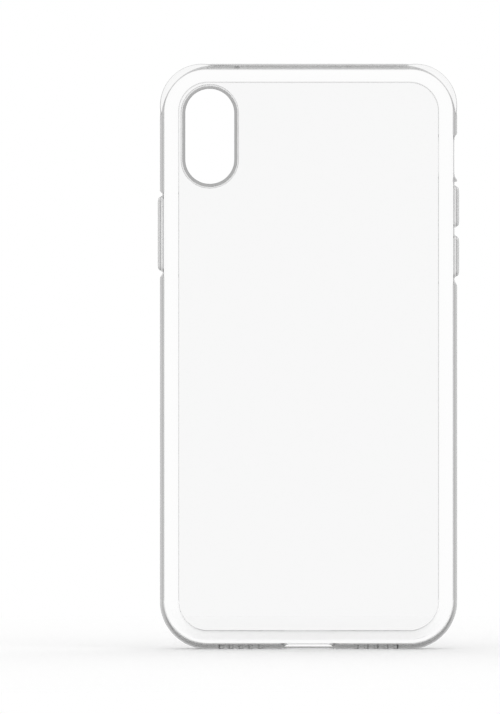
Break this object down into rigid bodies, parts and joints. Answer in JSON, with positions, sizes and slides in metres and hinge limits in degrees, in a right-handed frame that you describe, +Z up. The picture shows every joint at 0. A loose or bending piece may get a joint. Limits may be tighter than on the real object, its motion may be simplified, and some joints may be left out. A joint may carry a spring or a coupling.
{
  "type": "clear phone case",
  "caption": "Clear phone case: rigid back panel in a soft clear frame with camera window, charging-port and ring-switch openings and side-button covers that press in.",
  "frame": {"origin": "the phone's seat: the middle of the back panel's inner face, where the middle of the phone's back rests. The case is carried by the phone that it is fitted on", "axes": "+X across the case, towards the side with the ring-switch window and the volume buttons; +Y from the outer back towards the open front; +Z up along its height"},
  "size_m": [0.0794, 0.0106, 0.154],
  "materials": {
    "clear_soft": "clear, glossy, slightly soft to the touch",
    "clear_hard": "clear, polished, hard-coated"
  },
  "bodies": {
    "case_body": {"bumper_frame": "clear_soft", "back_panel": "clear_hard", "camera_ring": "clear_soft", "power_button_web": "clear_soft", "volume_up_web": "clear_soft", "volume_down_web": "clear_soft"},
    "power_button": {"power_button_pad": "clear_soft"},
    "volume_up": {"volume_up_pad": "clear_soft"},
    "volume_down": {"volume_down_pad": "clear_soft"}
  },
  "joints": [
    {"name": "power_button_press", "type": "slide", "parent": "case_body", "child": "power_button", "axis": [1, 0, 0], "range_m": [0, 0.0004], "stiffness_N_per_m": 2500, "deforming": ["power_button_web"]},
    {"name": "volume_up_press", "type": "slide", "parent": "case_body", "child": "volume_up", "axis": [-1, 0, 0], "range_m": [0, 0.0004], "stiffness_N_per_m": 2500, "deforming": ["volume_up_web"]},
    {"name": "volume_down_press", "type": "slide", "parent": "case_body", "child": "volume_down", "axis": [-1, 0, 0], "range_m": [0, 0.0004], "stiffness_N_per_m": 2500, "deforming": ["volume_down_web"]}
  ]
}
